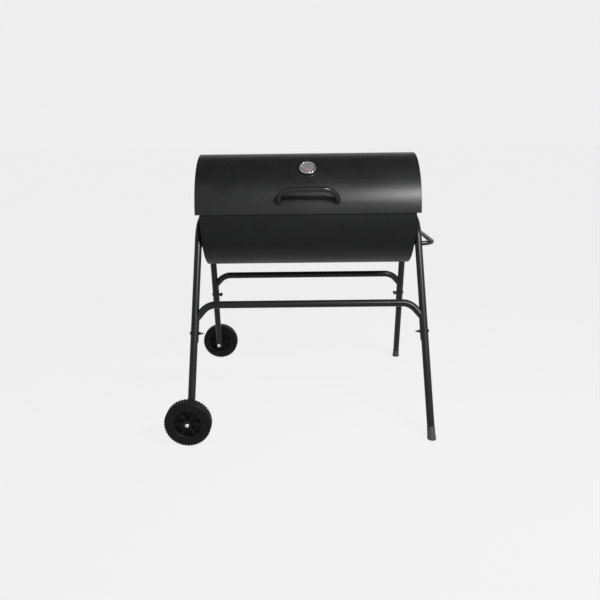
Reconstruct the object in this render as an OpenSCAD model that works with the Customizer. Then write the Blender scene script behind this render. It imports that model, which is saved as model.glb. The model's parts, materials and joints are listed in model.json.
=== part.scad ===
// Barrel charcoal grill on a tubular stand with two wheels.
// The origin is on the ground, under the middle of the whole grill. +X runs along the barrel
// from the wheels to the side handle, -Y is the cook's side and +Z is up.

/* [Barrel] */
// Outer diameter of the lid
lid_d = 400; // [396:1:402]
// Length of the lid over its end plates
lid_len = 760; // [756:1:770]
// Step from the lid's outer radius in to the firebox's outer radius
box_step = 5; // [4.6:0.1:6]
// Length by which the firebox is shorter than the lid, at each end
box_inset = 14.5; // [14.5:0.1:16]
// Thickness of the rolled barrel sheet
sheet = 1.5; // [1.2:0.1:1.6]
// Height of the barrel's axis above the ground
axis_z = 719; // [717:1:722]
// Height of the lid's lower edge above the barrel's axis
lid_edge = 7; // [6:0.5:8]
// Height of the firebox's rim above the barrel's axis
box_rim = 18; // [17:0.5:19]

/* [Stand] */
// Outer diameter of the stand's tubes
tube_d = 25; // [24.5:0.1:25]
// Wall of the stand's tubes
tube_wall = 1.5; // [1.2:0.1:1.6]
// Distance of the legs' feet from the barrel's middle, along the barrel
foot_x = 403; // [403:0.5:406]
// Distance of the legs' feet from the barrel's middle, across the barrel
foot_y = 400; // [398:1:402]
// Lean of each side frame towards the barrel, in degrees
lean = 2.03; // [1.9:0.01:2.03]
// Slant of the legs within a side frame, in degrees
slant = 21.62; // [21.5:0.02:21.7]
// Height of the arch's crown, measured up the side frame
arch_h = 697; // [696:1:698]
// Bend radius of the arch
arch_bend = 100; // [92:1:101]
// Height of the joint between arch and leg, measured up the side frame
joint_h = 630; // [626:1:630]
// Height of the crossbars' straight run above the ground
bar_z = 424; // [415:1:430]
// Bend radius of the crossbars
bar_bend = 60; // [56:1:62]

/* [Wheels] */
// Outer diameter of the wheels
wheel_d = 153; // [150:1:156]
// Width of the wheels' tread
wheel_w = 35; // [32:1:36]
// Number of tread lugs
lug_count = 48; // [40:4:60]

/* [Handles] */
// Diameter of the lid handle's tube
lid_handle_d = 19; // [18:0.5:20]
// Length of the lid handle between the centres of its ends
lid_handle_len = 197; // [180:1:210]
// Diameter of the side handle's tube
side_handle_d = 16; // [15:0.5:17]
// Reach of the side handle beyond its side frame
side_handle_reach = 52; // [50:1:56]

/* [Grates] */
// Number of wires on top of each cooking grate
cook_wires = 21; // [15:2:25]
// Number of bars on top of each charcoal grate
coal_wires = 13; // [11:2:17]
// Height of the charcoal grates above the ground
coal_z = 610; // [605:1:618]

/* [Hidden] */

$fn = 48;
big = 1000;
// Gap between curved faces that touch on the real grill
fit_gap = 0.1;
// Gap under a flat nut or head on the inside of the curved lid
seat_gap = 0.4;

tube_r = tube_d / 2;
// A bent tube's end is swaged by this much, over this length
swage = 0.1;
swage_lap = 1;
wheel_r = wheel_d / 2;
// The whole grill is moved along X so that the origin is under its middle
wheel_x = foot_x - wheel_r * tan(lean);
reach_x = foot_x - (joint_h - 14) * sin(lean) + (side_handle_reach + side_handle_d / 2) * cos(lean);
centre_x = (wheel_x + wheel_r - reach_x) / 2;

lid_r = lid_d / 2;
lid_half = lid_len / 2;
box_r = lid_r - box_step;
box_half = lid_half - box_inset;
box_in = box_r - sheet;
hem = 10;
flange = 11;

bolt_d = 6;
bolt_hole = 6.6;
joint_bolt_h = joint_h - 14;
bar_bolt_h = 334;
bar_end_h = 305;
crown_bolt_y = 42;
// Axle height equals the wheel's radius, so the tread rests on the ground
axle_d = 8;
axle_hole = 8.4;
// Slant of the plane that holds the two front or the two rear legs
plane_slant = atan(tan(slant) / cos(lean));
leg_y_at_axle = foot_y - wheel_r * tan(plane_slant);
wheel_offset = 48.5;
wheel_y = leg_y_at_axle + wheel_offset;
hub_half = wheel_w / 2 + 3;

hinge_y = lid_r + 6;
hinge_z = axis_z + 2;
hinge_w = 60;
hinge_x = 230;
knuckle_r = 5;
knuckle_w = 18;
pin_d = 5;
leaf = 2;
open_angle = 95;

rail_top = axis_z + 3;
damper_z = axis_z - 79;
damper_r = 38;
vent_d = 16;
vent_ring = 24;
pivot_d = 5;

gauge_angle = 49;
gauge_r = 28.5;

/* Placing helpers */

// Length up a leg that reaches a height in the side frame
function along(h) = h / cos(slant);

// Side frame: local Y and Z lie in the frame's plane, local X points out of it
module side(sx) {
    translate([centre_x + sx * foot_x, 0, 0]) rotate([0, -sx * lean, 0]) children();
}

// Leg: local Z runs up the leg from its foot
module on_leg(sx, sy) {
    side(sx) translate([0, sy * foot_y, 0]) rotate([sy * slant, 0, 0]) children();
}

// Plane of the front or rear legs: local X along the barrel, local Z up the slope
module leg_plane(sy) {
    translate([centre_x, sy * foot_y, 0]) rotate([sy * plane_slant, 0, 0]) children();
}

// Wheel: local Z points outwards along the axle
module at_axle(sy) {
    translate([centre_x - wheel_x, sy * wheel_y, wheel_r]) rotate([-90 * sy, 0, 0]) children();
}

// Extrudes an outline drawn as [Y, Z] along X, to both sides of the barrel's middle
module along_x(half) {
    translate([centre_x - half, 0, 0]) rotate([90, 0, 90]) linear_extrude(height = 2 * half) children();
}

// Point on the barrel: local Z points out of the barrel, at an angle above the horizontal
module on_barrel(x, angle, r, sy = -1) {
    translate([centre_x + x, 0, axis_z]) rotate([sy * -(90 - angle), 0, 0]) translate([0, 0, r]) children();
}

/* Shapes used more than once */

module ring(r_out, r_in) {
    difference() {
        circle(r = r_out);
        circle(r = r_in);
    }
}

module pipe(len, d, wall) {
    linear_extrude(height = len) ring(d / 2, d / 2 - wall);
}

module bent_pipe(bend, angle, d, wall) {
    rotate_extrude(angle = angle) translate([bend, 0]) ring(d / 2, d / 2 - wall);
}

module hole_x(d, len) {
    rotate([0, 90, 0]) cylinder(h = len, d = d, center = true);
}

module pan_screw(d, len, head_d, head_h) {
    rotate_extrude() {
        translate([0, -len]) square([d / 2, len + 0.5]);
        intersection() {
            square([head_d / 2, head_h]);
            translate([0, head_h - head_d * 0.75]) circle(r = head_d * 0.75);
        }
    }
}

module hex_nut(across, height, bore) {
    linear_extrude(height = height) difference() {
        circle(d = across / cos(30), $fn = 6);
        circle(d = bore);
    }
}

module washer(d_out, d_in, height) {
    linear_extrude(height = height) ring(d_out / 2, d_in / 2);
}

module rivet(shank_d, grip, head_d, head_h) {
    rotate_extrude() {
        translate([0, -grip - 0.5]) square([shank_d / 2, grip + 1]);
        intersection() {
            square([head_d / 2, head_h]);
            translate([0, head_h - head_d]) circle(r = head_d);
        }
        translate([0, -grip - 1.5]) square([shank_d * 0.75, 1.5]);
    }
}

/* Lid */

module lid_outline(r) {
    intersection() {
        translate([0, axis_z]) circle(r = r);
        translate([-big / 2, axis_z + lid_edge]) square([big, big]);
    }
}

module lid_shell() {
    color("#202124") difference() {
        union() {
            along_x(lid_half) difference() {
                lid_outline(lid_r);
                translate([0, axis_z]) circle(r = lid_r - sheet);
            }
            along_x(lid_half - flange - 2) intersection() {
                difference() {
                    lid_outline(lid_r - sheet + 0.1);
                    translate([0, axis_z]) circle(r = lid_r - 2 * sheet);
                }
                translate([-big / 2, axis_z]) square([big, lid_edge + hem]);
            }
        }
        for (sx = [-1, 1]) {
            on_barrel(sx * lid_handle_len / 2, handle_foot, lid_r) cylinder(h = 20, d = bolt_hole, center = true);
            for (x = hinge_rivet_x) {
                on_barrel(sx * hinge_x + x, hinge_lid_rivet, lid_r, 1) cylinder(h = 20, d = 4.2, center = true);
            }
        }
        on_barrel(0, gauge_angle, lid_r) cylinder(h = 20, d = 10.4, center = true);
    }
}

// The rest tabs reach over the firebox's end plate and stop short of the cooking grates
tab_len = 16.5;

// End plate with a flange inside the shell and two folded tabs that rest on the firebox
module lid_end(sx) {
    inner = lid_r - sheet - fit_gap;
    mirror([sx < 0 ? 1 : 0, 0, 0]) translate([sx * centre_x + lid_half - sheet, 0, 0]) {
        rotate([90, 0, 90]) linear_extrude(height = sheet) lid_outline(inner);
        translate([-flange, 0, 0]) rotate([90, 0, 90]) linear_extrude(height = flange + 0.2) difference() {
            lid_outline(inner);
            translate([0, axis_z]) circle(r = inner - sheet);
        }
        for (y = [-120, 120]) {
            translate([-tab_len, y - 10, axis_z + box_rim + 0.3]) cube([tab_len + 0.2, 20, sheet]);
        }
    }
}

module lid_end_left() {
    color("#202124") lid_end(-1);
}

module lid_end_right() {
    color("#202124") lid_end(1);
}

/* Lid handle: a flat bow that stands off the lid at a steeper angle than the lid's surface */

handle_foot = 14;
handle_rise = 46;
handle_stand = 60;
handle_bend = 52;

module handle_plane() {
    foot_y0 = -lid_r * cos(handle_foot);
    foot_z0 = axis_z + lid_r * sin(handle_foot);
    translate([centre_x, foot_y0, foot_z0]) rotate([90 - handle_rise, 0, 0]) children();
}

module lid_handle() {
    half = lid_handle_len / 2;
    wall = 1.5;
    plug = 8;
    color("#141416") difference() {
        handle_plane() for (sx = [-1, 1]) mirror([sx < 0 ? 1 : 0, 0, 0]) {
            translate([half, 0, -14]) cylinder(h = 14 + plug, d = lid_handle_d);
            translate([half - handle_bend, 0, handle_stand - handle_bend]) rotate([90, 0, 0])
                bent_pipe(handle_bend, 90, lid_handle_d, wall);
            translate([-0.01, 0, handle_stand]) rotate([0, 90, 0])
                pipe(half - handle_bend + 0.01, lid_handle_d, wall);
        }
        along_x(lid_half) translate([0, axis_z]) circle(r = lid_r + fit_gap);
        for (sx = [-1, 1]) {
            on_barrel(sx * half, handle_foot, lid_r - 1) cylinder(h = 14, d = bolt_d + 0.1);
        }
    }
}

module lid_handle_screws() {
    color("#b9bcc0") for (sx = [-1, 1]) {
        on_barrel(sx * lid_handle_len / 2, handle_foot, lid_r - sheet - seat_gap)
            mirror([0, 0, 1]) pan_screw(bolt_d, 11, 14, 3.5);
    }
}

/* Thermometer */

module at_gauge(r = 0) {
    on_barrel(0, gauge_angle, lid_r + r) children();
}

module thermometer_case() {
    color("#c9ccd0") at_gauge() rotate_extrude() difference() {
        polygon([[3.3, 2.4], [24, 2.4], [24, 2.6], [gauge_r - 2.5, 2.6], [gauge_r - 0.4, 4], [gauge_r, 6],
                 [gauge_r, 8.4], [gauge_r - 0.8, 9.6], [gauge_r - 3, 9.6], [gauge_r - 4, 8.6],
                 [gauge_r - 4, 7.4], [gauge_r - 2.2, 7.4], [gauge_r - 2.2, 3.8], [3.3, 3.8]]);
        square([3.3, 20]);
    }
}

module thermometer_dial() {
    color("#d8d8d4") at_gauge() translate([0, 0, 3.9]) washer(2 * (gauge_r - 2.4), 6.6, 0.8);
}

module thermometer_lens() {
    color("#dfe8ee", 0.3) at_gauge() translate([0, 0, 6.2]) cylinder(h = 1.1, r = gauge_r - 2.4);
}

module thermometer_needle() {
    color("#a02018") at_gauge() translate([0, 0, 5.05]) rotate([0, 0, needle_rest]) difference() {
        union() {
            cylinder(h = 0.8, r = 2.6);
            linear_extrude(height = 0.8) polygon([[-7, -1.4], [0, -1.2], [19.5, 0], [0, 1.2], [-7, 1.4]]);
        }
        translate([0, 0, -1]) cylinder(h = 4, r = 1.05);
    }
}

needle_rest = 232;

// Probe with the threaded neck that goes through the lid and the spindle that carries the needle
module thermometer_stem() {
    color("#b9bcc0") at_gauge() rotate_extrude() polygon([
        [0, -62], [1.6, -62], [3, -60], [3, -14], [5, -14], [5, 2.3], [3.2, 2.3], [3.2, 4.6],
        [1, 4.6], [1, 5.9], [0, 5.9]
    ]);
}

module thermometer_nut() {
    color("#b9bcc0") at_gauge(-sheet - seat_gap - 5) hex_nut(17, 5, 10.1);
}

/* Hinges. The lid leaf carries the two outer knuckles, the firebox leaf the middle one */

hinge_lid_rivet = 11;
hinge_box_rivet = -9;
hinge_rivet_x = [-20, 20];

module leaf_on_sheet(r, low, high, w) {
    translate([-w / 2, 0, 0]) rotate([90, 0, 90]) linear_extrude(height = w) intersection() {
        translate([0, axis_z]) ring(r + leaf, r);
        translate([0, axis_z + low]) square([big, high - low]);
    }
}

module knuckle(w) {
    translate([-w / 2, hinge_y, hinge_z]) rotate([0, 90, 0]) cylinder(h = w, r = knuckle_r);
}

module pin_bore() {
    translate([0, hinge_y, hinge_z]) hole_x(pin_d + 0.1, 2 * hinge_w);
}

module hinge_lid_leaf(sx) {
    r = lid_r + 0.15;
    color("#1b1c1e") translate([centre_x + sx * hinge_x, 0, 0]) difference() {
        union() {
            leaf_on_sheet(r, 11, 52, hinge_w);
            for (x = [-1, 1] * (hinge_w - knuckle_w) / 2) translate([x, 0, 0]) {
                knuckle(knuckle_w);
                translate([-knuckle_w / 2, hinge_y - 5, hinge_z]) cube([knuckle_w, leaf, 12]);
            }
        }
        pin_bore();
        for (x = hinge_rivet_x) {
            translate([-centre_x, 0, 0]) on_barrel(x, hinge_lid_rivet, lid_r, 1)
                cylinder(h = 20, d = 4.2, center = true);
        }
    }
}

// The firebox leaf has a joggle to its knuckle and a stop lip that holds the open lid
module hinge_box_leaf(sx) {
    r = box_r + 0.15;
    mid = hinge_w - 2 * knuckle_w - 1;
    color("#1b1c1e") translate([centre_x + sx * hinge_x, 0, 0]) difference() {
        union() {
            leaf_on_sheet(r, -50, -8, hinge_w);
            knuckle(mid);
            translate([-mid / 2, 0, 0]) rotate([90, 0, 90]) linear_extrude(height = mid) polygon([
                [box_r - 0.1, axis_z - 14], [box_r + 2, axis_z - 14], [hinge_y + 2, hinge_z - 4],
                [hinge_y - 4, hinge_z - 1], [box_r + 0.4, axis_z - 8.5]
            ]);
            translate([0, hinge_y, hinge_z]) rotate([90 - open_angle, 0, 0])
                translate([1 - mid / 2, 3.5, 1.1]) cube([mid - 2, 18.5, leaf]);
        }
        pin_bore();
        for (x = hinge_rivet_x) {
            translate([-centre_x, 0, 0]) on_barrel(x, hinge_box_rivet, box_r, 1)
                cylinder(h = 20, d = 4.2, center = true);
        }
    }
}

module hinge_lid_leaf_left() {
    hinge_lid_leaf(-1);
}

module hinge_lid_leaf_right() {
    hinge_lid_leaf(1);
}

module hinge_box_leaf_left() {
    hinge_box_leaf(-1);
}

module hinge_box_leaf_right() {
    hinge_box_leaf(1);
}

module hinge_rivets(angle, r) {
    color("#3a3b3d") for (sx = [-1, 1]) for (x = hinge_rivet_x) {
        on_barrel(sx * hinge_x + x, angle, r + leaf + 0.25, 1) rivet(4, leaf + sheet + 0.5, 8, 1.8);
    }
}

module hinge_lid_rivets() {
    hinge_rivets(hinge_lid_rivet, lid_r);
}

module hinge_box_rivets() {
    hinge_rivets(hinge_box_rivet, box_r);
}

module hinge_pins() {
    color("#b9bcc0") for (sx = [-1, 1]) {
        translate([centre_x + sx * hinge_x - hinge_w / 2, hinge_y, hinge_z]) rotate([0, 90, 0]) {
            translate([0, 0, -2.4]) cylinder(h = 2.1, r = 4);
            translate([0, 0, -1]) cylinder(h = hinge_w + 3, d = pin_d);
            translate([0, 0, hinge_w + 0.3]) cylinder(h = 1.7, r = 3.4);
        }
    }
}

/* Firebox */

module box_outline(r) {
    difference() {
        translate([0, axis_z]) circle(r = r);
        translate([-big / 2, axis_z + box_rim]) square([big, big]);
    }
}

module firebox_shell() {
    color("#202124") difference() {
        union() {
            along_x(box_half) difference() {
                box_outline(box_r);
                translate([0, axis_z]) circle(r = box_in);
            }
            along_x(box_half - flange - 2) intersection() {
                difference() {
                    box_outline(box_in + 0.1);
                    translate([0, axis_z]) circle(r = box_in - sheet);
                }
                translate([-big / 2, axis_z + box_rim - hem]) square([big, hem]);
            }
        }
        for (sx = [-1, 1]) for (x = hinge_rivet_x) {
            on_barrel(sx * hinge_x + x, hinge_box_rivet, box_r, 1) cylinder(h = 20, d = 4.2, center = true);
        }
    }
}

module vent_holes() {
    for (a = [0 : 90 : 270]) {
        rotate([a, 0, 0]) translate([0, vent_ring, 0]) hole_x(vent_d, 20);
    }
}

module firebox_end(sx) {
    inner = box_in - fit_gap;
    color("#202124") difference() {
        mirror([sx < 0 ? 1 : 0, 0, 0]) translate([sx * centre_x + box_half - sheet, 0, 0]) {
            rotate([90, 0, 90]) linear_extrude(height = sheet) box_outline(inner);
            translate([-flange, 0, 0]) rotate([90, 0, 90]) linear_extrude(height = flange + 0.2) difference() {
                box_outline(inner);
                translate([0, axis_z]) circle(r = inner - sheet);
            }
        }
        translate([centre_x + sx * box_half, 0, 0]) {
            for (y = [-crown_bolt_y, crown_bolt_y]) {
                translate([0, y, crown_z]) hole_x(bolt_hole, 20);
            }
            translate([0, 0, damper_z]) {
                vent_holes();
                hole_x(pivot_d + 0.1, 20);
            }
        }
    }
}

module firebox_end_left() {
    firebox_end(-1);
}

module firebox_end_right() {
    firebox_end(1);
}

/* Rails that carry the cooking grates, spot-welded inside the firebox */

rail_depth = 15;
rail_drop = 14;

module grate_rail(sy) {
    wall_y = box_in - 0.4;
    color("#8d9094") mirror([0, sy < 0 ? 1 : 0, 0]) {
        translate([centre_x - box_half + 16, wall_y - rail_depth, rail_top - sheet])
            cube([2 * box_half - 32, rail_depth, sheet]);
        translate([centre_x - box_half + 16, wall_y - sheet, rail_top - rail_drop])
            cube([2 * box_half - 32, sheet, rail_drop]);
    }
}

module grate_rail_front() {
    grate_rail(-1);
}

module grate_rail_rear() {
    grate_rail(1);
}

/* Grates, welded from round wire */

module wire_x(x0, x1, y, d) {
    translate([x0, y, 0]) rotate([0, 90, 0]) cylinder(h = x1 - x0, d = d, $fn = 24);
}

module wire_y(x, half, d) {
    translate([x, half, 0]) rotate([90, 0, 0]) cylinder(h = 2 * half, d = d, $fn = 24);
}

// Frame of two long and two short rods, inner stiffeners, and a row of wires on top
module grate(len, half_w, rod_d, wire_d, count, stiffeners) {
    r = rod_d / 2;
    top = (rod_d + wire_d) / 2 - 0.6;
    for (y = concat([-half_w, half_w], stiffeners)) {
        wire_x(0, len, y, rod_d);
    }
    for (i = [0 : count - 1]) {
        translate([0, 0, top]) wire_y(wire_d + (len - 2 * wire_d) * i / (count - 1), half_w + r, wire_d);
    }
}

grate_len = box_half - sheet - 6;
cook_half = box_in - rail_depth + 9.5;
cook_rod = 6;
coal_rod = 7;
coal_half = sqrt(pow(box_in - coal_rod / 2 - 0.4, 2) - pow(axis_z - coal_z, 2));

module cooking_grate() {
    color("#a8abae") translate([centre_x, 0, rail_top + cook_rod / 2 + 0.05])
        grate(grate_len, cook_half, cook_rod, 4, cook_wires, [-cook_half / 3, cook_half / 3]);
}

module cooking_grate_left() {
    translate([-grate_len - 2, 0, 0]) cooking_grate();
}

module cooking_grate_right() {
    translate([2, 0, 0]) cooking_grate();
}

module charcoal_grate() {
    color("#6d6f72") translate([centre_x, 0, coal_z])
        grate(grate_len - 8, coal_half, coal_rod, 6, coal_wires, [0]);
}

module charcoal_grate_left() {
    translate([-grate_len + 6, 0, 0]) charcoal_grate();
}

module charcoal_grate_right() {
    translate([2, 0, 0]) charcoal_grate();
}

/* Air dampers: a pierced disc on each end plate, turned by a folded tab */

module air_damper(sx) {
    color("#26272a") mirror([sx < 0 ? 1 : 0, 0, 0])
        translate([sx * centre_x + box_half + 0.3, 0, damper_z]) difference() {
            union() {
                rotate([0, 90, 0]) cylinder(h = sheet, r = damper_r);
                translate([0, -7, -damper_r - 8]) cube([sheet, 14, 12]);
                translate([0, -7, -damper_r - 8]) cube([14, 14, sheet]);
            }
            vent_holes();
            hole_x(pivot_d + 0.1, 20);
        }
}

module air_damper_left() {
    air_damper(-1);
}

module air_damper_right() {
    air_damper(1);
}

module damper_rivets() {
    grip = 2 * sheet + 0.6;
    color("#b9bcc0") for (sx = [-1, 1]) {
        translate([centre_x + sx * box_half, 0, damper_z]) rotate([0, sx * 90, 0])
            translate([0, 0, sheet + 0.6]) rivet(pivot_d, grip + 0.3, 12, 2);
    }
}

/* Side arches */

crown_z = arch_h * cos(lean);
arch_tangent = arch_bend * tan((90 - slant) / 2);
crown_half = foot_y - arch_h * tan(slant) - arch_tangent;
spigot_d = tube_d - 2 * tube_wall - 2 * fit_gap;
spigot_len = 42;

// One arm of the arch: a swaged collar on the bend's end, with a necked spigot for the leg
module arch_arm() {
    start = along(joint_h);
    end = along(arch_h) - arch_tangent + swage_lap;
    spigot_r = spigot_d / 2;
    bore_r = spigot_r - tube_wall;
    collar_r = tube_r + swage;
    collar_bore = tube_r - tube_wall - swage;
    rotate_extrude() polygon([
        [bore_r, start - spigot_len], [spigot_r, start - spigot_len], [spigot_r, start], [collar_r, start],
        [collar_r, end], [collar_bore, end], [collar_bore, start + 2], [bore_r, start + 0.5]
    ]);
}

module side_arch(sx) {
    color("#17181a") {
        side(sx) {
            difference() {
                translate([0, -crown_half, arch_h]) rotate([-90, 0, 0]) pipe(2 * crown_half, tube_d, tube_wall);
                for (y = [-crown_bolt_y, crown_bolt_y]) {
                    translate([0, y, arch_h]) rotate([0, sx * lean, 0]) hole_x(bolt_hole, 40);
                }
            }
            for (sy = [-1, 1]) {
                translate([0, sy * crown_half, arch_h - arch_bend]) rotate([90, 0, 90])
                    rotate([0, 0, 90]) mirror([0, sy < 0 ? 0 : 1, 0])
                        bent_pipe(arch_bend, 90 - slant, tube_d, tube_wall);
            }
        }
        for (sy = [-1, 1]) on_leg(sx, sy) difference() {
            arch_arm();
            translate([0, 0, along(joint_bolt_h)]) hole_x(bolt_hole, 40);
        }
    }
}

crown_x = foot_x - arch_h * sin(lean);

module side_arch_left() {
    side_arch(-1);
}

module side_arch_right() {
    side_arch(1);
}

module arch_fastening() {
    for (sx = [-1, 1]) for (y = [-crown_bolt_y, crown_bolt_y]) {
        translate([centre_x, y, crown_z]) rotate([0, sx * 90, 0]) children();
    }
}

module arch_bolts() {
    color("#2c2d30") arch_fastening() translate([0, 0, crown_x + tube_r + 0.1])
        pan_screw(bolt_d, crown_x + tube_r - box_half + 10, 12, 4);
}

module arch_washers() {
    color("#b9bcc0") arch_fastening() translate([0, 0, box_half - sheet - 1.3]) washer(14, bolt_d + 0.4, 1.2);
}

module arch_nuts() {
    color("#b9bcc0") arch_fastening() translate([0, 0, box_half - sheet - 6.4]) hex_nut(10, 5, bolt_d + 0.1);
}

/* Legs */

foot_gap = 10;
wheel_leg_end = 62;
leg_top = along(joint_h) - 0.1;

module leg(sx, sy) {
    low = sx < 0 ? along(wheel_leg_end) : foot_gap;
    color("#17181a") difference() {
        on_leg(sx, sy) difference() {
            translate([0, 0, low]) pipe(leg_top - low, tube_d, tube_wall);
            translate([0, 0, along(bar_bolt_h)]) hole_x(bolt_hole, 40);
            translate([sx > 0 ? 0 : 20, 0, along(joint_bolt_h)]) hole_x(bolt_hole, 40);
        }
        if (sx < 0) {
            at_axle(sy) cylinder(h = 200, d = axle_hole, center = true);
        }
    }
}

module leg_front_left() {
    leg(-1, -1);
}

module leg_rear_left() {
    leg(-1, 1);
}

module leg_front_right() {
    leg(1, -1);
}

module leg_rear_right() {
    leg(1, 1);
}

module inner_screw(sx, len) {
    for (sy = [-1, 1]) on_leg(sx, sy) {
        translate([0, 0, along(joint_bolt_h)]) rotate([0, -sx * 90, 0])
            translate([0, 0, tube_r + 0.1]) pan_screw(bolt_d, len, 11, 2.3);
    }
}

module leg_joint_screws() {
    color("#2c2d30") inner_screw(-1, 20);
}

/* Crossbars: each end is pressed to a crescent that hugs the leg */

bar_w = bar_z / cos(plane_slant);
bar_straight = 318;
crescent = 2.6;
// Angle through which the tube is bent before its pressed end starts
bend_angle = 50;
lip = 6;

// One end of a crossbar, cut to the leg and pressed round it
module pressed_end(sx, sy) {
    end_x = bar_straight + bar_bend * sin(bend_angle);
    end_w = bar_w - bar_bend * (1 - cos(bend_angle));
    difference() {
        union() {
            intersection() {
                leg_plane(sy) mirror([sx < 0 ? 1 : 0, 0, 0]) translate([end_x, 0, end_w])
                    rotate([0, 90 + bend_angle, 0]) translate([0, 0, -swage_lap])
                        cylinder(h = 48 + swage_lap, r = tube_r + swage);
                on_leg(sx, sy) rotate([0, 0, sx < 0 ? 0 : 180]) translate([lip, -big / 2, 0])
                    cube([big, big, big]);
            }
            on_leg(sx, sy) translate([0, 0, along(bar_end_h)])
                linear_extrude(height = along(395 - bar_end_h)) intersection() {
                    ring(tube_r + fit_gap + crescent, tube_r - 2);
                    rotate([0, 0, sx < 0 ? 0 : 180]) translate([3.5, -big / 2]) square([big, big]);
                }
        }
        on_leg(sx, sy) {
            cylinder(h = along(600), r = tube_r + fit_gap);
            translate([0, 0, along(bar_bolt_h)]) hole_x(bolt_hole, 80);
        }
    }
}

module crossbar(sy) {
    color("#17181a") {
        leg_plane(sy) {
            translate([-bar_straight, 0, bar_w]) rotate([0, 90, 0]) pipe(2 * bar_straight, tube_d, tube_wall);
            for (sx = [-1, 1]) mirror([sx < 0 ? 1 : 0, 0, 0]) {
                translate([bar_straight, 0, bar_w - bar_bend]) rotate([90, 0, 0])
                    rotate([0, 0, 90]) mirror([0, 1, 0]) bent_pipe(bar_bend, bend_angle, tube_d, tube_wall);
            }
        }
        for (sx = [-1, 1]) {
            pressed_end(sx, sy);
        }
    }
}

module crossbar_front() {
    crossbar(-1);
}

module crossbar_rear() {
    crossbar(1);
}

// Local Z points from the leg's axis towards the middle of the grill
module at_bar_bolt() {
    for (sx = [-1, 1]) for (sy = [-1, 1]) on_leg(sx, sy) {
        translate([0, 0, along(bar_bolt_h)]) rotate([0, -sx * 90, 0]) children();
    }
}

module crossbar_bolts() {
    color("#2c2d30") at_bar_bolt() translate([0, 0, -tube_r - 0.1]) mirror([0, 0, 1])
        pan_screw(bolt_d, 2 * tube_r + crescent + 15, 12, 3.6);
}

module crossbar_wing_nuts() {
    start = tube_r + crescent + 0.3;
    wing = 2.4;
    color("#2c2d30") at_bar_bolt() translate([0, 0, start]) rotate([0, 0, 90]) difference() {
        union() {
            cylinder(h = 6, r1 = 5.6, r2 = 4.6);
            for (m = [0, 1]) mirror([m, 0, 0]) translate([0, wing / 2, 0]) rotate([90, 0, 0])
                linear_extrude(height = wing) {
                    polygon([[3, 0.8], [5.5, 0.8], [12, 6], [7, 11.5], [3, 5.4]]);
                    translate([8.6, 8.2]) circle(r = 3.9);
                }
        }
        translate([0, 0, -1]) cylinder(h = 20, d = bolt_d + 0.1);
    }
}

/* Foot caps on the two legs without wheels */

module foot_cap(sy) {
    color("#101113") difference() {
        on_leg(1, sy) rotate_extrude() polygon([
            [0, -9], [14.6, -9], [14.6, 5], [13.7, 12], [13.3, 22], [13.2, 38], [12.9, 40],
            [tube_r + fit_gap, 40], [tube_r + fit_gap, foot_gap - 0.2], [0, foot_gap - 0.2]
        ]);
        translate([0, 0, -50]) cube([4 * foot_x, 4 * foot_y, 100], center = true);
    }
}

module foot_cap_front() {
    foot_cap(-1);
}

module foot_cap_rear() {
    foot_cap(1);
}

/* Wheels: one moulding with a lugged tread, six spokes and a hub */

spoke_count = 6;
rim_r = wheel_r * 0.57;
hub_r = 15.5;
web = 6;

module wheel(sy) {
    half = wheel_w / 2;
    lug = wheel_r * PI / lug_count;
    color("#1a1b1c") at_axle(sy) difference() {
        union() {
            rotate_extrude() polygon([
                [rim_r, -half + 2], [rim_r + 2, -half], [wheel_r - 6, -half], [wheel_r - 1.8, -half + 3],
                [wheel_r - 1.8, half - 3], [wheel_r - 6, half], [rim_r + 2, half], [rim_r, half - 2]
            ]);
            translate([0, 0, -half + 2]) linear_extrude(height = wheel_w - 4) intersection() {
                ring(wheel_r, wheel_r - 5);
                for (i = [0 : lug_count - 1]) {
                    rotate(360 * (i + 0.5) / lug_count + 180 / lug_count) translate([wheel_r - 5, -lug / 2])
                        square([10, lug]);
                }
            }
            cylinder(h = web, r = rim_r + 1, center = true);
            cylinder(h = 2 * hub_half, r = hub_r, center = true);
            for (i = [0 : spoke_count - 1]) {
                rotate([0, 0, 360 * i / spoke_count]) translate([hub_r - 3, -4.5, -half + 5])
                    cube([rim_r - hub_r + 4, 9, wheel_w - 10]);
            }
        }
        cylinder(h = 4 * half, d = axle_d + 0.1, center = true);
    }
}

module wheel_front() {
    wheel(-1);
}

module wheel_rear() {
    wheel(1);
}

module axle_bolts() {
    color("#d4d6d9") for (sy = [-1, 1]) at_axle(sy) {
        translate([0, 0, hub_half + 0.3])
            pan_screw(axle_d, hub_half + wheel_offset + tube_r + 15, 13, 5.5);
    }
}

// Sleeve between hub and leg, with an end shaped to the slanted leg
module axle_spacers() {
    color("#17181a") for (sy = [-1, 1]) difference() {
        at_axle(sy) translate([0, 0, -wheel_offset]) pipe(wheel_offset - hub_half - 0.3, 17, (17 - axle_hole) / 2);
        on_leg(-1, sy) cylinder(h = 200, r = tube_r + fit_gap);
    }
}

saddle_out = 17;

module axle_saddles() {
    color("#17181a") for (sy = [-1, 1]) difference() {
        at_axle(sy) translate([0, 0, -wheel_offset - saddle_out]) pipe(saddle_out, 17, (17 - axle_hole) / 2);
        on_leg(-1, sy) cylinder(h = 200, r = tube_r + fit_gap);
    }
}

module axle_nuts() {
    color("#d4d6d9") for (sy = [-1, 1]) at_axle(sy) {
        translate([0, 0, -wheel_offset - saddle_out - 7]) hex_nut(13, 6.9, axle_d + 0.1);
    }
}

/* Side handle: a flat bow across the right side frame */

side_handle_bend = 36;

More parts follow.
